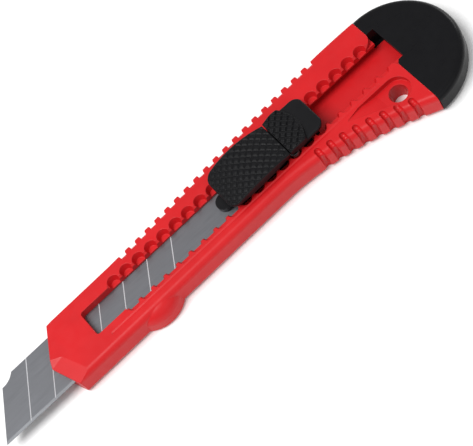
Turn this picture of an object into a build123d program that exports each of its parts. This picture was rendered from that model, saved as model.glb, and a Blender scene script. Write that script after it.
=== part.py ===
from build123d import *
import math
import os

# Snap-off utility knife: moulded handle, snap-off blade, sliding carrier and pull-off end cap.
#
# Millimetres. The knife lies on its flat back. +X runs from the blade tip to the end cap, +Y from
# the cutting edge to the spine, +Z out of the face that carries the thumb slider. The origin is at
# the bottom centre of the whole knife with the blade out as far as it stands at rest.

os.makedirs("parts", exist_ok=True)

# ---- driving dimensions ------------------------------------------------------------------------
CENTRE_Y = 4.93           # centreline of slot and slider
FACE_Z = 8.4              # face of the handle, above its back at z = 0
SEAM_X = 69.3             # joint line between handle and end cap

# blade
BLADE_Y = 4.5             # centreline of the blade
BLADE_WIDTH = 18.0
BLADE_LENGTH = 100.0
BLADE_THICK = 0.5
BLADE_MID_Z = 5.2
BLADE_TIP_X = -90.6
SCORE_PITCH = 9.7         # spacing of the snap-off lines
SCORE_COUNT = 7
SCORE_DEPTH = 0.14
SLANT_DEG = 60.0          # angle of the snap-off lines to the cutting edge
BEVEL_WIDTH = 0.9
CORNER_NOTCH = 5.0        # length cut off the spine corner of the first segment
PEG_X = 4.6               # peg of the carrier in the blade hole
PEG_RADIUS = 1.4
BLADE_HOLE_RADIUS = 1.5

# handle outline
NOSE_TIP = (-66.2, 2.8)
NOSE_SPINE = (-59.4, 14.9)
NOSE_EDGE = (-62.5, -7.36)
SIDE_ROUND = 2.0          # rounding between face and grip side
GRIP_BACK_ROUND = 2.0     # rounding between grip side and back
BACK_ROUND = 0.8
FLARE_X = 20.0            # the grip side is straight up to here, then flares
FLARE_Y = -6.43
SPINE_ROUND = 0.9

# channel in the handle
FLOOR_Z = 2.6
CAVITY_FRONT_X = -44.0
CAVITY_HALF = 7.6
GROOVE_HALF = 9.15
GROOVE_Z = (4.85, 5.55)   # the slot that the blade slides in
SLOT_FRONT_X = -49.5
SLOT_HALF = 4.9
LEDGE_Z = 6.2             # floor of the click pockets; below it the slot is straight
POCKET_PITCH = 5.0
POCKET_RADIUS = (1.5, 2.2)    # at the floor of each pocket and at the face
POCKET_Y = SLOT_HALF + 0.25 # pocket centres, from the centreline
POCKET_FIRST_X = -35.7
POCKET_COUNT = 21
SLOT_BEVEL = 0.75         # sloped top edge of the slot, which points the teeth
RAIL_END_ROUND = 3.4

# spine ribs and grip grooves
RIB_PITCH = 4.18
RIB_FIRST_X = -30.6
RIB_COUNT = 21
RIB_TIP = 1.3
RIB_BASE = 2.15
RIB_HEIGHT = 1.06
RIB_GAP_SLOPE = 0.85      # slope between the floor of each gap and the face
GRIP_PITCH = 4.2
GRIP_FIRST_X = 34.1
GRIP_COUNT = 8
GRIP_RADIUS = 1.1
GRIP_DEPTH = 1.4

# finger bump on the edge side
BUMP_CENTRE = (-30.7, 0.9)
BUMP_RADIUS = 10.3
BUMP_ROUND = 4.5
BUMP_TOP_Z = 8.15

GRIP_REACH = 0.5          # how far each groove runs onto the face

# facet on the nose
FACET_B = (-61.5, 3.1)
FACET_NORMAL = (-0.219, -0.090, 0.972)
FACET_SIDE_NORMAL = (-0.190, -0.351, 0.917)   # the facet's turn towards the nose tip

# crease between the face and the grip side
CREASE_X = (-46.0, 61.0)
CREASE_Y = -3.05
CREASE_RADIUS = 0.9
CREASE_DEPTH = 0.15

# hang hole and its scoop
HANG_CENTRE = (63.0, -8.6)
HANG_RADIUS = 3.0
SCOOP_RADIUS = 4.6
SCOOP_DEPTH = 2.0
SCOOP_TIP = (47.2, -5.2)
SCOOP_FLAT_X = 58.0       # the scoop's ramp turns level here

# end cap
CAP_CENTRE = (70.15, 0.05)
CAP_RADIUS = 20.45
CAP_ROUND = 2.2
CAP_NOTCH_X = 72.1
NOTCH_Y = (-1.2, 13.1)
SEAM_GAP = 0.15
TAIL_END_X = 82.0
TAIL_Y = (-13.5, 8.0)
TAIL_FLOOR_Y = 11.2       # the tail's thin floor plate reaches further than the tail itself
CAP_POCKET_Y = (-13.58, 13.1)
TAIL_Z = (1.6, 6.8)
TAIL_GAP = 0.08

# slider
UNDERSIDE_Z = 10.1        # underside of the thumb pads, above the face
STEM_HALF = 4.65
BOSS_HALF = 6.2           # boss under each pad, just above the face
FOOT_HALF = 7.35
FOOT_X = (9.8, 38.9)
FOOT_Z = (2.8, 5.35)
STEM_FRONT_X = 7.2
STEM_TOP_Z = 8.6
TONGUE_RADIUS = 2.95
TONGUE_Z = (5.6, 7.2)
PAD_FRONT_X = 4.4
SPLIT_X = 27.8
PAD_Y = 5.2               # centreline of the two pads
PAD_MID_X = 14.0
PAD_HALF_FRONT = 7.5      # half widths of the barrel-shaped pad
PAD_HALF_MID = 7.85
PAD_HALF_SPLIT = 7.0
PAD_FRONT_BOW = 0.9
PAD_CORNER = 3.0
PAD_EDGE = 0.4
PAD_TOP = ((3.8, 11.4), (10.0, 13.0), (16.5, 14.0), (22.5, 13.5), (28.0, 12.3))
SPLIT_GAP = 0.3
FLANGE_TOP_Z = 11.7
FLANGE_REAR_X = 41.4
FLANGE_HALF = 7.2
FLANGE_CORNER = 3.0
BLOCK_HALF = 7.1
BLOCK_TOP = ((27.95, 12.3), (31.0, 13.1), (34.0, 13.0), (36.3, 11.6))
TRAY_Z = 6.9
TRAY_HALF = 4.1           # tray in the carrier for the click spring
TRAY_REAR_X = 32.7
KEY_NECK_HALF = 1.6       # T-slot for the lock slide's key
KEY_HEAD_HALF = 2.8
KEY_HEAD_Z = (6.0, 7.3)
KEY_X = 33.0
KEY_LENGTH = 3.0
WEDGE_LENGTH = 2.2
WEDGE_HALF = 3.35

# click spring
NOSE_X = 29.3             # the round pocket that the spring's noses sit in at rest
SPRING_THICK = 0.35
SPRING_Z = (7.1, 8.2)
SPRING_BEND_X = 13.0
SPRING_END_X = 31.6
ARM_HALF = 3.8            # outside of the spring's arms, from the centreline
NOSE_CENTRE = 4.45        # centre of each round nose, from the centreline
NOSE_RADIUS = 1.55

BLADE_EDGE_Y = BLADE_Y - BLADE_WIDTH / 2
BLADE_SPINE_Y = BLADE_Y + BLADE_WIDTH / 2
BLADE_BOTTOM_Z = BLADE_MID_Z - BLADE_THICK / 2
BLADE_TOP_Z = BLADE_MID_Z + BLADE_THICK / 2
SLANT_SIN = math.sin(math.radians(SLANT_DEG))
SLANT_COS = math.cos(math.radians(SLANT_DEG))
NOTCH_DROP = 2.2          # the corner notch leaves the slanted front this far below the spine
CORNER_FRONT = (
    BLADE_TIP_X + (BLADE_WIDTH - NOTCH_DROP) * SLANT_COS / SLANT_SIN,
    BLADE_SPINE_Y - NOTCH_DROP,
)
CORNER_REAR_X = CORNER_FRONT[0] + CORNER_NOTCH
FACET_PLANE = Plane((*FACET_B, FACE_Z), z_dir=FACET_NORMAL)
FACET_SIDE_PLANE = Plane((*FACET_B, FACE_Z), z_dir=FACET_SIDE_NORMAL)
THROUGH = 40.0            # longer than any cut needs


def spine_y(x):
    """Height of the spine side's outline at x: straight at the nose, a gentle swell behind."""
    swell = min(max((x + 34.0) / 94.0, 0.0), 1.0)
    return 15.6 + 4.7 * math.sin(swell * math.pi / 2) ** 1.3


def grip_y(x):
    """Outline of the cutting-edge side at x: straight, then flaring down to the end cap."""
    flare = max((x - FLARE_X) / (SEAM_X - FLARE_X), 0.0)
    return FLARE_Y - 13.65 * flare ** 1.85


# ---- cutters shared by the handle -----------------------------------------------------------
# nose facet: a flat that leans down towards the corner and turns up again towards the nose tip
with BuildPart() as facet:
    with BuildSketch(Plane.XY.offset(FACE_Z - 4)):
        Polygon((-75, 12), (-52, 12), (-52, -14), (-75, -14), align=None)
    extrude(amount=6)
    split(bisect_by=FACET_PLANE, keep=Keep.TOP)
    split(bisect_by=FACET_SIDE_PLANE, keep=Keep.TOP)

# scoop in the face that leads into the hang hole: a hull of three discs with a ramp for a floor
with BuildPart() as scoop:
    with BuildSketch(Plane.XY.offset(FACE_Z - SCOOP_DEPTH)):
        with Locations(HANG_CENTRE):
            Circle(SCOOP_RADIUS)
        with Locations(SCOOP_TIP):
            Circle(0.4)
        with Locations((SCOOP_TIP[0] + 4.5, SCOOP_TIP[1] + 0.7)):
            Circle(0.6)
        make_hull()
    extrude(amount=SCOOP_DEPTH + 1)
    with BuildSketch(Plane.XZ.offset(THROUGH / 2)):
        Polygon((SCOOP_TIP[0] - 5, FACE_Z - 5), (SCOOP_TIP[0] - 5, FACE_Z), (SCOOP_TIP[0], FACE_Z - 0.2),
                (SCOOP_FLAT_X, FACE_Z - SCOOP_DEPTH), (SCOOP_FLAT_X, FACE_Z - 5), align=None)
    extrude(amount=-THROUGH, mode=Mode.SUBTRACT)

# ---- handle ------------------------------------------------------------------------------------
spine_points = [(x, spine_y(x)) for x in (-34, -15, 5, 25, 45, 60)]
grip_points = [(x, grip_y(x)) for x in (FLARE_X, 32, 44, 56)]

with BuildPart() as handle:
    with BuildSketch():
        with BuildLine():
            Polyline(spine_points[0], (NOSE_SPINE[0] + 4.0, 15.45), NOSE_SPINE, NOSE_TIP, NOSE_EDGE)
            Line(NOSE_EDGE, grip_points[0])
            Spline(*grip_points, (SEAM_X, grip_y(SEAM_X)), tangents=((1, 0), (1, -0.5)))
            Line((SEAM_X, grip_y(SEAM_X)), (SEAM_X, spine_y(SEAM_X) - 0.3))
            Spline((SEAM_X, spine_y(SEAM_X) - 0.3), *spine_points[::-1])
        make_face()
    extrude(amount=FACE_Z)
    top_edges = handle.edges().filter_by(lambda e: abs(e.center().Z - FACE_Z) < 1e-4)
    side_edges = top_edges.filter_by(lambda e: e.center().Y < grip_y(e.center().X) + 1.5 and e.length > 10)
    fillet(side_edges, SIDE_ROUND)
    spine_edges = handle.edges().filter_by(
        lambda e: abs(e.center().Z - FACE_Z) < 1e-4 and e.center().Y > 14 and e.length > 10
    )
    fillet(spine_edges, SPINE_ROUND)
    back_edges = handle.edges().filter_by(
        lambda e: abs(e.center().Z) < 1e-4 and e.length > 10 and abs(e.tangent_at(0.5).X) > 0.8
    )
    fillet(back_edges.filter_by(lambda e: e.center().Y > 0), BACK_ROUND)
    back_edges = handle.edges().filter_by(
        lambda e: abs(e.center().Z) < 1e-4 and e.length > 10 and abs(e.tangent_at(0.5).X) > 0.8
    )
    fillet(back_edges.filter_by(lambda e: e.center().Y < 0), GRIP_BACK_ROUND)

    # finger bump: a domed lobe that swells out of the cutting-edge side
    with BuildSketch(Plane((*BUMP_CENTRE, 0), x_dir=(1, 0, 0), z_dir=(0, -1, 0))):
        with BuildLine():
            Polyline((0, BUMP_TOP_Z), (0, 0), (BUMP_RADIUS - BACK_ROUND, 0), (BUMP_RADIUS, BACK_ROUND))
            Line((BUMP_RADIUS, BACK_ROUND), (BUMP_RADIUS, BUMP_TOP_Z - BUMP_ROUND))
            Line((BUMP_RADIUS - BUMP_ROUND, BUMP_TOP_Z), (0, BUMP_TOP_Z))
            CenterArc((BUMP_RADIUS - BUMP_ROUND, BUMP_TOP_Z - BUMP_ROUND), BUMP_ROUND, 0, 90)
        make_face()
    revolve(axis=Axis((*BUMP_CENTRE, 0), (0, 0, 1)))

    # tail: the core behind the seam that the end cap is pushed over, with a wider floor plate
    for top_z, reach_y in ((TAIL_Z[1], TAIL_Y[1]), (FLOOR_Z, TAIL_FLOOR_Y)):
        with BuildSketch(Plane.XY.offset(TAIL_Z[0])):
            with Locations((SEAM_X - 1, TAIL_Y[0])):
                Rectangle(TAIL_END_X - SEAM_X + 1, reach_y - TAIL_Y[0], align=(Align.MIN, Align.MIN))
        extrude(amount=top_z - TAIL_Z[0])

    # slit for the blade, right through from nose to tail
    with BuildSketch(Plane.XY.offset(GROOVE_Z[0])):
        with Locations((0, BLADE_Y)):
            Rectangle(2 * 100, 2 * GROOVE_HALF)
    extrude(amount=GROOVE_Z[1] - GROOVE_Z[0], mode=Mode.SUBTRACT)

    # cavity under the blade for the carrier's foot
    with BuildSketch(Plane.XY.offset(FLOOR_Z)):
        with Locations((CAVITY_FRONT_X, CENTRE_Y)):
            Rectangle(150, 2 * CAVITY_HALF, align=(Align.MIN, Align.CENTER))
    extrude(amount=GROOVE_Z[0] - FLOOR_Z, mode=Mode.SUBTRACT)

    # thumb slot: straight below, with conical click pockets between pointed teeth above
    with BuildSketch(Plane.XY.offset(GROOVE_Z[1])):
        with Locations((SLOT_FRONT_X, CENTRE_Y)):
            Rectangle(150, 2 * SLOT_HALF, align=(Align.MIN, Align.CENTER))
        fillet(vertices().group_by(Axis.X)[0], 1.0)
    extrude(amount=THROUGH, mode=Mode.SUBTRACT)
    with BuildSketch(Plane.YZ.offset(POCKET_FIRST_X - POCKET_PITCH / 2)):
        Polygon((CENTRE_Y - SLOT_HALF - SLOT_BEVEL, FACE_Z), (CENTRE_Y - SLOT_HALF, FACE_Z - SLOT_BEVEL),
                (CENTRE_Y + SLOT_HALF, FACE_Z - SLOT_BEVEL), (CENTRE_Y + SLOT_HALF + SLOT_BEVEL, FACE_Z),
                (CENTRE_Y + SLOT_HALF + SLOT_BEVEL, FACE_Z + 1),
                (CENTRE_Y - SLOT_HALF - SLOT_BEVEL, FACE_Z + 1), align=None)
    extrude(amount=150, mode=Mode.SUBTRACT)
    for side in (-1, 1):
        for i in range(POCKET_COUNT):
            with Locations((POCKET_FIRST_X + i * POCKET_PITCH, CENTRE_Y + side * POCKET_Y, LEDGE_Z)):
                Cone(POCKET_RADIUS[0], POCKET_RADIUS[1], FACE_Z - LEDGE_Z,
                     align=(Align.CENTER, Align.CENTER, Align.MIN), mode=Mode.SUBTRACT)

    # the rails' ends at the seam are rounded into the slot
    with BuildSketch(Plane.XY.offset(TAIL_Z[1])):
        for side in (-1, 1):
            with Locations((SEAM_X - RAIL_END_ROUND, CENTRE_Y + side * SLOT_HALF)):
                Rectangle(2 * RAIL_END_ROUND, 2 * RAIL_END_ROUND, align=(Align.MIN, Align.CENTER))
            with Locations((SEAM_X - RAIL_END_ROUND, CENTRE_Y + side * (SLOT_HALF + RAIL_END_ROUND))):
                Circle(RAIL_END_ROUND, mode=Mode.SUBTRACT)
    extrude(amount=THROUGH, mode=Mode.SUBTRACT)

    # crease: a shallow round groove along the face, beside the slot
    with BuildSketch(Plane.YZ.offset(CREASE_X[0])):
        with Locations((CREASE_Y, FACE_Z - CREASE_DEPTH + CREASE_RADIUS)):
            Circle(CREASE_RADIUS)
    extrude(amount=CREASE_X[1] - CREASE_X[0], mode=Mode.SUBTRACT)

    # facet at the lower front corner of the nose
    add(facet.part, mode=Mode.SUBTRACT)

    # spine: the material between neighbouring ribs is scooped away
    for i in range(RIB_COUNT - 1):
        gap_x = RIB_FIRST_X + (i + 0.5) * RIB_PITCH
        gap_y = spine_y(gap_x) - RIB_HEIGHT
        floor_half = (RIB_PITCH - RIB_BASE) / 2
        mouth_half = (RIB_PITCH - RIB_TIP) / 2
        with BuildSketch():
            Polygon((gap_x - floor_half, gap_y), (gap_x + floor_half, gap_y),
                    (gap_x + 2 * mouth_half - floor_half, gap_y + 2 * RIB_HEIGHT),
                    (gap_x - 2 * mouth_half + floor_half, gap_y + 2 * RIB_HEIGHT), align=None)
        extrude(amount=THROUGH, mode=Mode.SUBTRACT)
        with BuildSketch(Plane.YZ.offset(gap_x - floor_half)):
            Polygon((gap_y - RIB_GAP_SLOPE, FACE_Z), (gap_y, FACE_Z - RIB_GAP_SLOPE),
                    (gap_y + 1, FACE_Z - RIB_GAP_SLOPE), (gap_y + 1, FACE_Z + 1),
                    (gap_y - RIB_GAP_SLOPE, FACE_Z + 1), align=None)
        extrude(amount=2 * floor_half, mode=Mode.SUBTRACT)

    # grip grooves: round-bottomed, from the face down the flared side to the back
    for i in range(GRIP_COUNT):
        groove_x = GRIP_FIRST_X + i * GRIP_PITCH
        side_y = grip_y(groove_x) + GRIP_DEPTH - GRIP_RADIUS
        top_z = FACE_Z - GRIP_DEPTH + GRIP_RADIUS
        bend = SIDE_ROUND + GRIP_RADIUS - GRIP_DEPTH
        with BuildLine(Plane.YZ.offset(groove_x)) as groove_path:
            Line((side_y + bend + GRIP_REACH, top_z), (side_y + bend, top_z))
            RadiusArc((side_y + bend, top_z), (side_y, top_z - bend), -bend)
            Line((side_y, top_z - bend), (side_y, -1))
        with BuildSketch(Plane(groove_path.line @ 0, x_dir=(1, 0, 0), z_dir=(0, 1, 0))):
            Circle(GRIP_RADIUS)
        sweep(path=groove_path.line, mode=Mode.SUBTRACT)
        with Locations(groove_path.line @ 0):
            Sphere(GRIP_RADIUS, mode=Mode.SUBTRACT)

    # scoop and hang hole
    add(scoop.part, mode=Mode.SUBTRACT)
    with Locations((*HANG_CENTRE, FACE_Z)):
        Hole(HANG_RADIUS)

handle.part.label = "handle"
export_step(handle.part, "parts/handle.step")

# ---- end cap -----------------------------------------------------------------------------------
with BuildPart() as end_cap:
    with BuildSketch():
        with Locations(CAP_CENTRE):
            Circle(CAP_RADIUS)
        with Locations((SEAM_X + SEAM_GAP, 0)):
            Rectangle(THROUGH, 2 * THROUGH, align=(Align.MAX, Align.CENTER), mode=Mode.SUBTRACT)
    extrude(amount=FACE_Z)
    fillet(end_cap.edges().filter_by(GeomType.CIRCLE), CAP_ROUND)

    # pocket that takes the handle's tail
    with BuildSketch(Plane.XY.offset(TAIL_Z[0] - TAIL_GAP)):
        with Locations((SEAM_X, CAP_POCKET_Y[0])):
            Rectangle(TAIL_END_X - SEAM_X + 0.5, CAP_POCKET_Y[1] - CAP_POCKET_Y[0],
                      align=(Align.MIN, Align.MIN))
    extrude(amount=TAIL_Z[1] - TAIL_Z[0] + 2 * TAIL_GAP, mode=Mode.SUBTRACT)

    # notch in the face that clears the slider's stem when the blade is fully drawn in
    with BuildSketch(Plane.XY.offset(TAIL_Z[1])):
        with BuildLine():
            Polyline((SEAM_X, NOTCH_Y[0] - 1.0), (SEAM_X + 1.0, NOTCH_Y[0]), (CAP_NOTCH_X, NOTCH_Y[0]),
                     (CAP_NOTCH_X, NOTCH_Y[1]), (SEAM_X, NOTCH_Y[1]), close=True)
        make_face()
    extrude(amount=THROUGH, mode=Mode.SUBTRACT)
end_cap.part.label = "end_cap"
export_step(end_cap.part, "parts/end_cap.step")

# ---- blade -------------------------------------------------------------------------------------
with BuildPart() as blade:
    with BuildSketch(Plane.XY.offset(BLADE_BOTTOM_Z)):
        with BuildLine():
            Line((BLADE_TIP_X, BLADE_EDGE_Y), (BLADE_TIP_X + BLADE_LENGTH, BLADE_EDGE_Y))
            Line((BLADE_TIP_X + BLADE_LENGTH, BLADE_EDGE_Y), (BLADE_TIP_X + BLADE_LENGTH, BLADE_SPINE_Y))
            Line((BLADE_TIP_X + BLADE_LENGTH, BLADE_SPINE_Y), (CORNER_REAR_X, BLADE_SPINE_Y))
            RadiusArc((CORNER_REAR_X, BLADE_SPINE_Y), CORNER_FRONT, 6.0)
            Line(CORNER_FRONT, (BLADE_TIP_X, BLADE_EDGE_Y))
        make_face()
    extrude(amount=BLADE_THICK)

    # the ground cutting edge, on both faces
    with BuildSketch(Plane.YZ.offset(BLADE_TIP_X - 1)):
        for side in (-1, 1):
            Polygon((BLADE_EDGE_Y, BLADE_MID_Z + side * 0.03),
                    (BLADE_EDGE_Y + BEVEL_WIDTH, BLADE_MID_Z + side * BLADE_THICK / 2),
                    (BLADE_EDGE_Y - 1, BLADE_MID_Z + side * BLADE_THICK / 2 + side * 0.3),
                    (BLADE_EDGE_Y - 1, BLADE_MID_Z + side * 0.03), align=None)
    extrude(amount=BLADE_LENGTH + 2, mode=Mode.SUBTRACT)

    # snap-off lines, scored into the upper face
    for i in range(1, SCORE_COUNT + 1):
        foot = (BLADE_TIP_X + i * SCORE_PITCH, BLADE_EDGE_Y)
        score_start = Plane((*foot, BLADE_TOP_Z), x_dir=(SLANT_SIN, -SLANT_COS, 0),
                            z_dir=(SLANT_COS, SLANT_SIN, 0))
        with BuildSketch(score_start):
            Polygon((-SCORE_DEPTH, 0), (SCORE_DEPTH, 0), (0, SCORE_DEPTH), align=None)
        extrude(amount=BLADE_WIDTH / SLANT_SIN, mode=Mode.SUBTRACT)

    with Locations((PEG_X, CENTRE_Y, BLADE_TOP_Z)):
        Hole(BLADE_HOLE_RADIUS)
blade.part.label = "blade"
export_step(blade.part, "parts/blade.step")

# ---- blade carrier -----------------------------------------------------------------------------
with BuildPart() as blade_carrier:
    # foot that slides in the cavity under the slot's ledges
    with BuildSketch(Plane.XY.offset(FOOT_Z[0])):
        with Locations((FOOT_X[0], CENTRE_Y)):
            Rectangle(FOOT_X[1] - FOOT_X[0], 2 * FOOT_HALF, align=(Align.MIN, Align.CENTER))
    extrude(amount=FOOT_Z[1] - FOOT_Z[0])
    fillet(blade_carrier.edges().filter_by(Axis.Z), 1.2)

    # stem that rises through the slot
    with BuildSketch(Plane.XY.offset(FOOT_Z[1])):
        with Locations((FOOT_X[0], CENTRE_Y)):
            Rectangle(FOOT_X[1] - FOOT_X[0], 2 * STEM_HALF, align=(Align.MIN, Align.CENTER))
    extrude(amount=STEM_TOP_Z - FOOT_Z[1])

    # bridge over the blade's tang, and the round tongue with the peg under it
    with BuildSketch(Plane.XY.offset(TONGUE_Z[0])):
        with Locations((STEM_FRONT_X, CENTRE_Y)):
            Rectangle(FOOT_X[0] - STEM_FRONT_X + 0.1, 2 * STEM_HALF, align=(Align.MIN, Align.CENTER))
    extrude(amount=STEM_TOP_Z - TONGUE_Z[0])
    with BuildSketch(Plane.XY.offset(TONGUE_Z[0])):
        with Locations((PEG_X, CENTRE_Y)):
            Circle(TONGUE_RADIUS)
            Rectangle(STEM_FRONT_X - PEG_X + 0.1, 2 * TONGUE_RADIUS, align=(Align.MIN, Align.CENTER))
    extrude(amount=TONGUE_Z[1] - TONGUE_Z[0])
    with BuildSketch(Plane.XY.offset(TONGUE_Z[0])):
        with Locations((PEG_X, CENTRE_Y)):
            Circle(PEG_RADIUS)
    extrude(amount=-(TONGUE_Z[0] - BLADE_BOTTOM_Z))

    # open tray for the click spring, with a window in each side for its noses
    with BuildSketch(Plane.XY.offset(TRAY_Z)):
        with Locations((SPRING_BEND_X - 0.4, CENTRE_Y)):
            Rectangle(TRAY_REAR_X - SPRING_BEND_X + 0.4, 2 * TRAY_HALF, align=(Align.MIN, Align.CENTER))
        with Locations((NOSE_X, CENTRE_Y)):
            Rectangle(4.2, 4 * STEM_HALF)
    extrude(amount=STEM_TOP_Z - TRAY_Z, mode=Mode.SUBTRACT)

    # T-slot that guides and holds the lock slide's key
    for half, low, high in (
        (KEY_NECK_HALF, KEY_HEAD_Z[1], STEM_TOP_Z),
        (KEY_HEAD_HALF, KEY_HEAD_Z[0], KEY_HEAD_Z[1]),
    ):
        with BuildSketch(Plane.XY.offset(low)):
            with Locations((TRAY_REAR_X - 0.1, CENTRE_Y)):
                Rectangle(THROUGH, 2 * half, align=(Align.MIN, Align.CENTER))
        extrude(amount=high - low, mode=Mode.SUBTRACT)
blade_carrier.part.label = "blade_carrier"
export_step(blade_carrier.part, "parts/blade_carrier.step")

# ---- click spring ------------------------------------------------------------------------------
# a U of steel strip whose two arms each carry a round nose that sits in the slot's pockets
with BuildPart() as click_spring:
    with BuildSketch(Plane.XY.offset(SPRING_Z[0])):
        with Locations((SPRING_BEND_X + ARM_HALF, CENTRE_Y)):
            Circle(ARM_HALF)
            Rectangle(SPRING_END_X - SPRING_BEND_X - ARM_HALF, 2 * ARM_HALF, align=(Align.MIN, Align.CENTER))
        with Locations((NOSE_X, CENTRE_Y + NOSE_CENTRE), (NOSE_X, CENTRE_Y - NOSE_CENTRE)):
            Circle(NOSE_RADIUS)
        with Locations((NOSE_X, CENTRE_Y + NOSE_CENTRE), (NOSE_X, CENTRE_Y - NOSE_CENTRE)):
            Circle(NOSE_RADIUS - SPRING_THICK, mode=Mode.SUBTRACT)
        with Locations((SPRING_BEND_X + ARM_HALF, CENTRE_Y)):
            Circle(ARM_HALF - SPRING_THICK, mode=Mode.SUBTRACT)
            Rectangle(THROUGH, 2 * (ARM_HALF - SPRING_THICK), align=(Align.MIN, Align.CENTER),
                      mode=Mode.SUBTRACT)
    extrude(amount=SPRING_Z[1] - SPRING_Z[0])
click_spring.part.label = "click_spring"
export_step(click_spring.part, "parts/click_spring.step")

# ---- thumb pad ---------------------------------------------------------------------------------
PAD_REAR_X = SPLIT_X - SPLIT_GAP / 2
PAD_CORNER_X = PAD_FRONT_X + PAD_FRONT_BOW
with BuildPart() as thumb_pad:
    with BuildSketch(Plane.XY.offset(UNDERSIDE_Z)):
        with BuildLine():
            for side in (-1, 1):
                ThreePointArc((PAD_REAR_X, PAD_Y + side * PAD_HALF_SPLIT),
                              (PAD_MID_X, PAD_Y + side * PAD_HALF_MID),
                              (PAD_CORNER_X, PAD_Y + side * PAD_HALF_FRONT))
            ThreePointArc((PAD_CORNER_X, PAD_Y - PAD_HALF_FRONT), (PAD_FRONT_X, PAD_Y),
                          (PAD_CORNER_X, PAD_Y + PAD_HALF_FRONT))
            Line((PAD_REAR_X, PAD_Y - PAD_HALF_SPLIT), (PAD_REAR_X, PAD_Y + PAD_HALF_SPLIT))
        make_face()
        fillet(vertices().group_by(Axis.X)[0], PAD_CORNER)
    extrude(amount=10)
    with BuildSketch(Plane.XZ.offset(-PAD_Y)):
        with BuildLine():
            Spline(*PAD_TOP)
            Polyline(PAD_TOP[-1], (PAD_TOP[-1][0], 30), (PAD_TOP[0][0], 30), PAD_TOP[0])
        make_face()
    extrude(amount=THROUGH, both=True, mode=Mode.SUBTRACT)
    rim = thumb_pad.faces().sort_by(Axis.Z)[-1].edges().filter_by(lambda e: e.center().X < SPLIT_X - 1)
    fillet(rim, PAD_EDGE)

    # boss under the pad that caps the carrier's tray
    with BuildSketch(Plane.XY.offset(STEM_TOP_Z)):
        with Locations((STEM_FRONT_X, CENTRE_Y)):
            Rectangle(PAD_REAR_X - STEM_FRONT_X, 2 * BOSS_HALF, align=(Align.MIN, Align.CENTER))
    extrude(amount=UNDERSIDE_Z - STEM_TOP_Z)
thumb_pad.part.label = "thumb_pad"
export_step(thumb_pad.part, "parts/thumb_pad.step")

# ---- lock slide --------------------------------------------------------------------------------
LOCK_FRONT_X = SPLIT_X + SPLIT_GAP / 2
with BuildPart() as lock_slide:
    # flange with rounded rear corners
    with BuildSketch(Plane.XY.offset(UNDERSIDE_Z)):
        with Locations((LOCK_FRONT_X, PAD_Y)):
            Rectangle(FLANGE_REAR_X - LOCK_FRONT_X, 2 * FLANGE_HALF, align=(Align.MIN, Align.CENTER))
        fillet(vertices().group_by(Axis.X)[-1], FLANGE_CORNER)
    extrude(amount=FLANGE_TOP_Z - UNDERSIDE_Z)
    rim = lock_slide.faces().sort_by(Axis.Z)[-1].edges().filter_by(lambda e: e.center().X > LOCK_FRONT_X + 1)
    fillet(rim, 0.5)

    # raised thumb block
    with BuildSketch(Plane.XZ.offset(-PAD_Y)):
        with BuildLine():
            Spline(*BLOCK_TOP)
            Polyline(BLOCK_TOP[-1], (BLOCK_TOP[-1][0], UNDERSIDE_Z + 0.5),
                     (BLOCK_TOP[0][0], UNDERSIDE_Z + 0.5), BLOCK_TOP[0])
        make_face()
    extrude(amount=BLOCK_HALF, both=True)

    # boss, locking wedge and T-shaped key
    for x, length, half, low, high in (
        (LOCK_FRONT_X, 8.0, BOSS_HALF, STEM_TOP_Z, UNDERSIDE_Z),
        (LOCK_FRONT_X, WEDGE_LENGTH, WEDGE_HALF, TRAY_Z + 0.1, STEM_TOP_Z),
        (KEY_X, KEY_LENGTH, KEY_NECK_HALF - 0.1, KEY_HEAD_Z[1] - 0.1, STEM_TOP_Z),
        (KEY_X, KEY_LENGTH, KEY_HEAD_HALF - 0.1, KEY_HEAD_Z[0] + 0.1, KEY_HEAD_Z[1] - 0.1),
    ):
        with BuildSketch(Plane.XY.offset(low)):
            with Locations((x, CENTRE_Y)):
                Rectangle(length, 2 * half, align=(Align.MIN, Align.CENTER))
        extrude(amount=high - low)
lock_slide.part.label = "lock_slide"
export_step(lock_slide.part, "parts/lock_slide.step")
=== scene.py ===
"""Snap-off utility knife: camera, light, floor, materials and the finely detailed pieces.

Metres, in the row frame: +X from blade tip to end cap, +Y from cutting edge to spine, +Z out of
the face that carries the slider, z = 0 at the flat back.
"""

import math

import bmesh
import bpy
from mathutils import Matrix, Vector


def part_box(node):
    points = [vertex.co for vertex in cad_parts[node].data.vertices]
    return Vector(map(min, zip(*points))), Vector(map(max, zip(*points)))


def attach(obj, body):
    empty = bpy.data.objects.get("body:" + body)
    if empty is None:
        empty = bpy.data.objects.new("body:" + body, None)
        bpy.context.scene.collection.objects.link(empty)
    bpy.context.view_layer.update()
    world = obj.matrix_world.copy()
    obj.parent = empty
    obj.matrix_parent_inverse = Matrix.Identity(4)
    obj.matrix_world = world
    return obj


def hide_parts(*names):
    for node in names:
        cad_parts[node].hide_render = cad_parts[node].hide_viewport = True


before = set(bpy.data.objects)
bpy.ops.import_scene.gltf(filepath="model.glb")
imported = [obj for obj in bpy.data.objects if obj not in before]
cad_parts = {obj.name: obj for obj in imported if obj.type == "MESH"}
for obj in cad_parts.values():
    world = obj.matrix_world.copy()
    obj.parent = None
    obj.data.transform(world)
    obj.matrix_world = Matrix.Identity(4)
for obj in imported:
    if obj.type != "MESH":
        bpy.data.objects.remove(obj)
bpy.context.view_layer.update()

MM = 0.001


# ---- camera, light and floor -------------------------------------------------------------------
CAMERA_TARGET = Vector((2.6, -2.35, 5.2)) * MM
CAMERA_DISTANCE = 499.65 * MM
CAMERA_AZIMUTH = math.radians(-93.13)
CAMERA_ELEVATION = math.radians(57.07)
CAMERA_ROLL = math.radians(-40.41)
LENS = 129.31
FLOOR_REACH = 3           # half the floor's side, in metres
FLOOR_COLOUR = (0.93, 0.93, 0.93, 1)
FLOOR_ROUGHNESS = 0.9
WORLD_STRENGTH = 0.5


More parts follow.
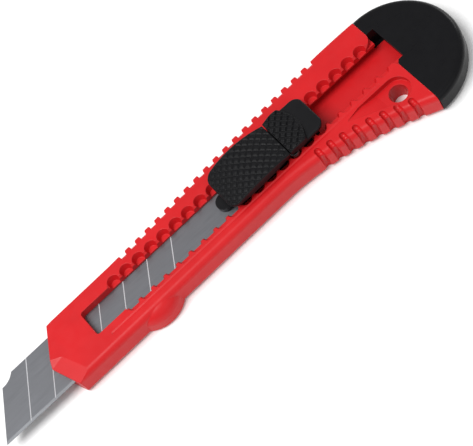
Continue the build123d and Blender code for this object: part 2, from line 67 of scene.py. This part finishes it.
def add_camera():
    """The scene's camera, looking at its target from a distance, turned about its own axis."""
    towards = Vector((
        math.cos(CAMERA_ELEVATION) * math.cos(CAMERA_AZIMUTH),
        math.cos(CAMERA_ELEVATION) * math.sin(CAMERA_AZIMUTH),
        math.sin(CAMERA_ELEVATION),
    ))
    camera = bpy.data.objects.new("camera", bpy.data.cameras.new("camera"))
    bpy.context.scene.collection.objects.link(camera)
    right = Vector((-math.sin(CAMERA_AZIMUTH), math.cos(CAMERA_AZIMUTH), 0))
    up = towards.cross(right)
    turned = Matrix((right, up, towards)).transposed().to_4x4()
    camera.matrix_world = (
        Matrix.Translation(CAMERA_TARGET + CAMERA_DISTANCE * towards)
        @ turned
        @ Matrix.Rotation(CAMERA_ROLL, 4, "Z")
    )
    camera.data.lens = LENS
    camera.data.clip_start = 0.01
    bpy.context.scene.camera = camera


def add_light(name, location, size, power):
    """A white rectangular light aimed at the camera's target; metres and watts."""
    light = bpy.data.objects.new(name, bpy.data.lights.new(name, "AREA"))
    bpy.context.scene.collection.objects.link(light)
    light.data.shape = "RECTANGLE"
    light.data.size, light.data.size_y = size
    light.data.energy = power
    light.location = location
    light.rotation_euler = (CAMERA_TARGET - light.location).to_track_quat("-Z", "Y").to_euler()


add_camera()

floor_mesh = bpy.data.meshes.new("floor")
floor_corners = [(x * FLOOR_REACH, y * FLOOR_REACH, 0) for x, y in ((-1, -1), (1, -1), (1, 1), (-1, 1))]
floor_mesh.from_pydata(floor_corners, [], [(0, 1, 2, 3)])
floor = bpy.data.objects.new("floor", floor_mesh)
bpy.context.scene.collection.objects.link(floor)

add_light("key", (-0.42, -0.02, 1.05), (0.7, 0.7), 12.5)
add_light("fill", (0.3, -0.9, 0.7), (0.9, 0.6), 1.2)
add_light("rim", (0.75, 0.35, 0.16), (0.30, 0.12), 1.2)
world = bpy.data.worlds.new("studio")
bpy.context.scene.world = world
world.use_nodes = True
world.node_tree.nodes["Background"].inputs["Color"].default_value = (1, 1, 1, 1)
world.node_tree.nodes["Background"].inputs["Strength"].default_value = WORLD_STRENGTH
bpy.context.scene.view_settings.view_transform = "Standard"


# ---- materials ---------------------------------------------------------------------------------
RED = (0.56, 0.010, 0.013, 1)
# painted edge highlight: this lighter red is laid along the handle's edges in patches
EDGE_HIGHLIGHT_RED = (0.70, 0.05, 0.05, 1)
BLACK = (0.006, 0.006, 0.007, 1)
# painted edge highlight: this lighter black is laid along the black parts' edges in patches
EDGE_HIGHLIGHT_BLACK = (0.03, 0.03, 0.032, 1)

# sizes of the plastics' surface patterns, in millimetres
MOTTLE_SIZE = 9
# size of the patches of painted edge highlight
EDGE_HIGHLIGHT_PATCH_SIZE = 1.5
GLOSS_SIZE = 2.5
WAVE_SIZE = 6
WAVE_DEPTH = 0.02
MOTTLE_SHADE = 0.93       # the darker patches' share of the colour

# the steels' streaks and clouds, in millimetres
STREAK_STRETCH = 60       # how much longer than wide a grinding streak is
STREAK_DEPTH = 0.004
CLOUD_SIZE = 12
STREAK_SHADE = 0.86
CLOUD_SHADE = 0.9

# how upright the blade's faces are: flats above the first, the honed edge down to the second, and the
# walls of the score lines down to the third
FLAT_LEAN, EDGE_LEAN, WALL_LEAN = 0.995, 0.9, 0.3


def start_material(name):
    """A new material, its node tree and its Principled shader."""
    material = bpy.data.materials.new(name)
    material.use_nodes = True
    return material, material.node_tree, material.node_tree.nodes["Principled BSDF"]


def node(tree, kind, settings=None, **inputs):
    """Adds a node; inputs are values or sockets.

    They are given by name, with spaces written as underscores, or as i0, i1 and so on by number.
    """
    made = tree.nodes.new(kind)
    for key, value in (settings or {}).items():
        setattr(made, key, value)
    for key, value in inputs.items():
        socket = made.inputs[int(key[1:])] if key[1:].isdigit() else made.inputs[key.replace("_", " ")]
        if isinstance(value, bpy.types.NodeSocket):
            tree.links.new(value, socket)
        else:
            socket.default_value = value
    return made


def place(tree):
    """The point being shaded, in the piece's own coordinates."""
    return node(tree, "ShaderNodeTexCoord").outputs["Object"]


def noise(tree, scale_mm, detail=2.0, stretch=(1, 1, 1)):
    """Noise whose features are about scale_mm across."""
    density = [1 / (scale_mm * MM * s) for s in stretch]
    mapped = node(tree, "ShaderNodeMapping", Vector=place(tree), Scale=density)
    made = node(tree, "ShaderNodeTexNoise", Vector=mapped.outputs[0], Scale=1.0, Detail=detail)
    return made.outputs["Fac"]


def spread(tree, value, low, high, start=0.0, end=1.0):
    """Maps a 0 to 1 value between start and end onto low to high."""
    return node(tree, "ShaderNodeMapRange", Value=value, From_Min=start, From_Max=end,
                To_Min=low, To_Max=high).outputs["Result"]


def shaded(colour, share):
    """The colour darkened to this share."""
    return [c * share for c in colour[:3]] + [1]


def mix(tree, factor, a, b):
    """Colour a at factor 0 and b at factor 1."""
    made = node(tree, "ShaderNodeMix", {"data_type": "RGBA"}, i0=factor, i6=a, i7=b)
    return made.outputs[2]


def bump(tree, height, depth_mm, normal=None):
    """A normal tilted by a height pattern this deep."""
    inputs = {"Height": height, "Distance": depth_mm * MM, "Strength": 1.0}
    if normal is not None:
        inputs["Normal"] = normal
    return node(tree, "ShaderNodeBump", **inputs).outputs["Normal"]


def soft_edges(tree, radius_mm):
    """Edges catch the light as if rounded to this radius."""
    return node(tree, "ShaderNodeBevel", {"samples": 6}, Radius=radius_mm * MM).outputs["Normal"]


def edge_mask(tree, radius_mm):
    """1 on sharp edges and 0 on flats, from how far the rounded normal leans off the real one."""
    geometry = node(tree, "ShaderNodeNewGeometry").outputs["Normal"]
    lean = node(tree, "ShaderNodeVectorMath", {"operation": "DOT_PRODUCT"},
                i0=soft_edges(tree, radius_mm), i1=geometry).outputs["Value"]
    return spread(tree, lean, 1.0, 0.0, 0.80, 0.995)


def moulded_plastic(name, colour, edge_highlight, roughness, edge_mm, grain_mm=0.12, grain_depth=0.004,
                    specular=0.25):
    """Injection-moulded plastic: fine grain, slow waviness, mottled gloss and a painted highlight that
    lightens the edges in patches.
    """
    material, tree, shader = start_material(name)
    patches = spread(tree, noise(tree, MOTTLE_SIZE), 0.0, 1.0, 0.35, 0.65)
    mottled = mix(tree, patches, colour, shaded(colour, MOTTLE_SHADE))
    # painted highlight: sharp edges are lightened towards the highlight colour, in patches
    painted_edge_highlight = node(tree, "ShaderNodeMath", {"operation": "MULTIPLY"},
                  i0=edge_mask(tree, edge_mm), i1=noise(tree, EDGE_HIGHLIGHT_PATCH_SIZE)).outputs[0]
    tree.links.new(mix(tree, painted_edge_highlight, mottled, edge_highlight), shader.inputs["Base Color"])
    gloss = spread(tree, noise(tree, GLOSS_SIZE, 4), roughness - 0.05, roughness + 0.07, 0.3, 0.7)
    tree.links.new(gloss, shader.inputs["Roughness"])
    waves = bump(tree, noise(tree, WAVE_SIZE, 1), WAVE_DEPTH, soft_edges(tree, edge_mm))
    tree.links.new(bump(tree, noise(tree, grain_mm, 2), grain_depth, waves), shader.inputs["Normal"])
    shader.inputs["Specular IOR Level"].default_value = specular
    return material


red_plastic = moulded_plastic("red_plastic", RED, EDGE_HIGHLIGHT_RED, 0.36, 0.22, grain_mm=0.4, grain_depth=0.016)
cap_plastic = moulded_plastic("cap_plastic", BLACK, EDGE_HIGHLIGHT_BLACK, 0.30, 0.2, specular=0.12)
slider_plastic = moulded_plastic("slider_plastic", BLACK, EDGE_HIGHLIGHT_BLACK, 0.44, 0.1, specular=0.14)
carrier_plastic = moulded_plastic("carrier_plastic", BLACK, EDGE_HIGHLIGHT_BLACK, 0.3, 0.15, specular=0.2)


def ground_steel(name, colour, roughness, streak_mm, metallic=0.85):
    """Steel with fine lengthwise grinding streaks."""
    material, tree, shader = start_material(name)
    streaks = noise(tree, streak_mm, 3, stretch=(STREAK_STRETCH, 1, 1))
    clouds = noise(tree, CLOUD_SIZE, 3)
    tone = mix(tree, spread(tree, streaks, 0, 1, 0.3, 0.7), shaded(colour, STREAK_SHADE), colour)
    clouded = mix(tree, spread(tree, clouds, 0, 0.5, 0.3, 0.7), tone, shaded(colour, CLOUD_SHADE))
    tree.links.new(clouded, shader.inputs["Base Color"])
    gloss = spread(tree, streaks, roughness - 0.06, roughness + 0.08, 0.3, 0.7)
    tree.links.new(gloss, shader.inputs["Roughness"])
    tree.links.new(bump(tree, streaks, STREAK_DEPTH), shader.inputs["Normal"])
    shader.inputs["Metallic"].default_value = metallic
    return material


blade_steel = ground_steel("blade_steel", (0.19, 0.195, 0.21, 1), 0.42, 0.12)
honed_steel = ground_steel("honed_steel", (0.15, 0.155, 0.165, 1), 0.50, 0.12)
# painted highlight: the score lines' walls are painted pale and non-metallic
score_highlight_steel = ground_steel("score_highlight_steel", (0.62, 0.62, 0.64, 1), 0.55, 0.12, metallic=0.0)
spring_steel = ground_steel("spring_steel", (0.55, 0.55, 0.56, 1), 0.25, 0.1)

floor_material, _, floor_shader = start_material("floor_paper")
floor_shader.inputs["Base Color"].default_value = FLOOR_COLOUR
floor_shader.inputs["Roughness"].default_value = FLOOR_ROUGHNESS
floor.data.materials.append(floor_material)


def dress(name, material):
    """Gives a carried-over CAD node its material."""
    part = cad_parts[name]
    part.data.materials.clear()
    part.data.materials.append(material)
    return part


def dress_blade():
    """The flats are ground steel, the honed edge is darker, and the score lines' walls are painted pale as a
    highlight.
    """
    part = dress("blade", blade_steel)
    part.data.materials.append(honed_steel)
    part.data.materials.append(score_highlight_steel)
    for polygon in part.data.polygons:
        lean = abs(polygon.normal.z)
        if EDGE_LEAN < lean < FLAT_LEAN:
            polygon.material_index = 1
        # the score lines' walls take the painted highlight
        elif WALL_LEAN < lean <= EDGE_LEAN:
            polygon.material_index = 2


dress("handle", red_plastic)
dress("end_cap", cap_plastic)
dress_blade()
dress("blade_carrier", carrier_plastic)
dress("click_spring", spring_steel)


# ---- knurled thumb pad and lock slide ------------------------------------------------------------
UNDERSIDE_Z = 10.1 * MM   # underside of both pads
BOSS_BOTTOM_Z = 8.6 * MM  # the boss under each pad reaches down to here
BOSS_SHARE = 0.79         # width of the boss against its pad
KNURL_PITCH = 1.93 * MM
PAD_CORNER = 3.0 * MM
END_CROWDING = 1.5        # crowds the rows of points towards the rounded end
LONG_STEPS = 210
CROSS_STEPS = 136


def smooth_step(value, start, end):
    """0 up to start and 1 from end on, with a smooth rise between."""
    t = min(max((value - start) / (end - start), 0.0), 1.0)
    return t * t * (3 - 2 * t)


def knurl(x, y, pitch, depth, land):
    """Grooves crossing at 45 degrees; land is the flat share of each pyramid."""
    along = (x + y) / math.sqrt(2) / pitch
    across = (x - y) / math.sqrt(2) / pitch
    nearest = max(abs(2 * (along % 1) - 1), abs(2 * (across % 1) - 1))
    return -depth * smooth_step(nearest, land, 1.0)


def rim_drop(distance, radius):
    """How far a rounded rim falls below its face, at this distance in from the edge."""
    inside = max(radius - distance, 0.0)
    return radius - math.sqrt(max(radius ** 2 - inside ** 2, 0.0))


def pad_mesh(name, x_at, half_at, centre_y, height_at, draft, boss_x):
    """A closed pad: a fine height field on top, drafted sides, and a boss under it.

    x_at maps 0..1 to x, half_at gives the half width at x, and height_at gives the top at
    (x, y, side, edge). There side is the distance in from the nearer long side, and edge from the
    whole outline. boss_x is the boss's front and rear.
    """
    grid = []
    verts = []
    xs = [x_at(i / LONG_STEPS) for i in range(LONG_STEPS + 1)]
    for x in xs:
        row = []
        half = half_at(x)
        for j in range(CROSS_STEPS + 1):
            across = 2 * j / CROSS_STEPS - 1
            y = centre_y + across * half
            side = (1 - abs(across)) * half
            edge = min(side, x - xs[0], xs[-1] - x)
            row.append(len(verts))
            verts.append((x, y, height_at(x, y, side, edge)))
        grid.append(row)
    faces = [
        (grid[i][j], grid[i + 1][j], grid[i + 1][j + 1], grid[i][j + 1])
        for i in range(LONG_STEPS) for j in range(CROSS_STEPS)
    ]
    top_count = len(faces)

    ring = (
        [row[0] for row in grid] + grid[-1][1:]
        + [row[-1] for row in reversed(grid[:-1])] + grid[0][-2:0:-1]
    )
    front, rear = xs[0], xs[-1]
    boss_scale = (boss_x[1] - boss_x[0]) / (rear - front)
    middle_x = (front + rear) / 2

    def lower_ring(place_at):
        start = len(verts)
        verts.extend(place_at(*verts[index][:2]) for index in ring)
        return list(range(start, len(verts)))

    def drafted(x, y):
        return (middle_x + (x - middle_x) * (1 - draft / (rear - front)),
                centre_y + (y - centre_y) * (1 - draft / half_at(middle_x)), UNDERSIDE_Z)

    def boss(x, y, z):
        return (boss_x[0] + (x - front) * boss_scale, centre_y + (y - centre_y) * BOSS_SHARE, z)

    rings = [
        ring,
        lower_ring(drafted),
        lower_ring(lambda x, y: boss(x, y, UNDERSIDE_Z)),
        lower_ring(lambda x, y: boss(x, y, BOSS_BOTTOM_Z)),
    ]
    count = len(ring)
    for upper, lower in zip(rings, rings[1:]):
        faces += [(upper[i], lower[i], lower[(i + 1) % count], upper[(i + 1) % count]) for i in range(count)]
    hub = len(verts)
    verts.append(((boss_x[0] + boss_x[1]) / 2, centre_y, BOSS_BOTTOM_Z))
    faces += [(rings[-1][i], hub, rings[-1][(i + 1) % count]) for i in range(count)]

    mesh = bpy.data.meshes.new(name)
    mesh.from_pydata(verts, [], faces)
    mesh.polygons.foreach_set("use_smooth", [i < top_count for i in range(len(faces))])
    made = bpy.data.objects.new(name, mesh)
    bpy.context.scene.collection.objects.link(made)
    made.data.materials.append(slider_plastic)
    return made


def add_bevelled_blocks(piece, blocks, edge):
    """Adds closed blocks with softened edges, each given by its low and high corner, to a piece."""
    shape = bmesh.new()
    for low, high in blocks:
        size = Vector(high) - Vector(low)
        matrix = Matrix.Translation((Vector(low) + Vector(high)) / 2) @ Matrix.Diagonal((*size, 1))
        cube = bmesh.ops.create_cube(shape, size=1.0, matrix=matrix)
        edges = list({e for v in cube["verts"] for e in v.link_edges})
        bmesh.ops.bevel(shape, geom=edges, offset=edge, segments=2, affect="EDGES", profile=0.5)
    shape.from_mesh(piece.data)
    shape.to_mesh(piece.data)
    shape.free()


def face_outwards(piece):
    """Turns every face of a closed piece to the outside."""
    shape = bmesh.new()
    shape.from_mesh(piece.data)
    bmesh.ops.recalc_face_normals(shape, faces=shape.faces)
    shape.to_mesh(piece.data)
    shape.free()


def rounded_end(distance):
    """What the rounded end adds to the half width at this distance from it: never above 0."""
    inside = max(PAD_CORNER - distance, 0.0)
    return -PAD_CORNER + math.sqrt(PAD_CORNER ** 2 - inside ** 2)


def add_thumb_pad():
    """The slider's front part: bowed sides, a crowned top and a fine knurl on a coarse one."""
    low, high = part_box("thumb_pad")
    centre_y = (low[1] + high[1]) / 2
    widest = (high[1] - low[1]) / 2
    widest_x = low[0] + 9.6 * MM
    crest_x = low[0] + 12.6 * MM
    boss_front_x = low[0] + 2.8 * MM
    side_bow = 4.6            # per metre
    crown_bow = 14.9          # per metre
    cross_drop = 0.25 * MM
    coarse_depth, coarse_land = 0.30 * MM, 0.45
    fine_depth, fine_land = 0.07 * MM, 0.2
    front_radius = 0.9 * MM
    side_radius = 0.45 * MM
    draft = 0.45 * MM

    def x_at(share):
        return low[0] + (high[0] - low[0]) * share ** END_CROWDING

    def half_at(x):
        return widest - (x - widest_x) ** 2 * side_bow + rounded_end(x - low[0])

    def height_at(x, y, side, edge):
        crown = high[2] - (x - crest_x) ** 2 * crown_bow - ((y - centre_y) / widest) ** 4 * cross_drop
        fade = smooth_step(edge, 0.1 * MM, 0.5 * MM)
        coarse = knurl(x, y, KNURL_PITCH, coarse_depth, coarse_land)
        fine = knurl(x, y, KNURL_PITCH / 3, fine_depth, fine_land)
        rim = max(rim_drop(side, side_radius), rim_drop(x - low[0], front_radius))
        return crown - rim + fade * (coarse + fine)

    pad = pad_mesh("knurled_thumb_pad", x_at, half_at, centre_y, height_at, draft,
                   (boss_front_x, high[0]))
    face_outwards(pad)
    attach(pad, "slider")
    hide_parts("thumb_pad")


def add_lock_slide():
    """The slider's rear part: a raised knurled block, a smooth flange, and its wedge and T-key."""
    low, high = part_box("lock_slide")
    centre_y = (low[1] + high[1]) / 2
    widest = (high[1] - low[1]) / 2
    flange_z = 11.7 * MM
    block_top_z = 13.2 * MM
    crest_x = low[0] + 4.2 * MM
    block_length = 8.35 * MM
    boss_length = 8.0 * MM
    swell_reach, swell_height = 2.6 * MM, 0.3 * MM
    side_inset = 0.12 * MM
    crown_bow = 38            # per metre
    rear_bow = 44             # per metre
    coarse_depth, coarse_land = 0.42 * MM, 0.55
    fine_depth, fine_land = 0.05 * MM, 0.3
    side_radius = 0.5 * MM
    rear_radius = 0.6 * MM
    draft = 0.3 * MM
    wedge_length, wedge_half, wedge_z = 2.2 * MM, 3.35 * MM, 7.0 * MM
    key_front_x, key_rear_x = low[0] + 5.05 * MM, low[0] + 8.05 * MM
    neck_half, head_half, head_top_z = 1.5 * MM, 2.7 * MM, 7.2 * MM
    block_edge = 0.12 * MM

    def x_at(share):
        return high[0] - (high[0] - low[0]) * (1 - share) ** END_CROWDING

    def half_at(x):
        swell = math.exp(-((x - crest_x) / swell_reach) ** 2)
        return widest - side_inset + swell_height * swell + rounded_end(high[0] - x)

    def height_at(x, y, side, edge):
        block_z = block_top_z - (x - crest_x) ** 2 * crown_bow
        behind = low[0] + block_length - (y - centre_y) ** 2 * rear_bow - x
        raised = smooth_step(behind, -0.35 * MM, 0.25 * MM)
        coarse = knurl(x, y, KNURL_PITCH, coarse_depth, coarse_land)
        fine = knurl(x, y, KNURL_PITCH / 2, fine_depth, fine_land)
        fade = smooth_step(edge, 0.1 * MM, 0.45 * MM) * smooth_step(behind, 0.0, 0.5 * MM)
        rim = max(rim_drop(side, side_radius), rim_drop(high[0] - x, rear_radius))
        return flange_z + (block_z - flange_z) * raised + (coarse + fine) * fade - rim

    slide = pad_mesh("knurled_lock_slide", x_at, half_at, centre_y, height_at, draft,
                     (low[0], low[0] + boss_length))
    stem_low, stem_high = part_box("blade_carrier")
    stem_y = (stem_low[1] + stem_high[1]) / 2

    def block(front_x, rear_x, half, bottom_z, top_z):
        return (front_x, stem_y - half, bottom_z), (rear_x, stem_y + half, top_z)

    wedge = block(low[0], low[0] + wedge_length, wedge_half, wedge_z, BOSS_BOTTOM_Z)
    neck = block(key_front_x, key_rear_x, neck_half, head_top_z, BOSS_BOTTOM_Z)
    head = block(key_front_x, key_rear_x, head_half, low[2], head_top_z)
    add_bevelled_blocks(slide, [wedge, neck, head], block_edge)
    face_outwards(slide)
    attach(slide, "lock")
    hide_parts("lock_slide")


add_thumb_pad()
add_lock_slide()
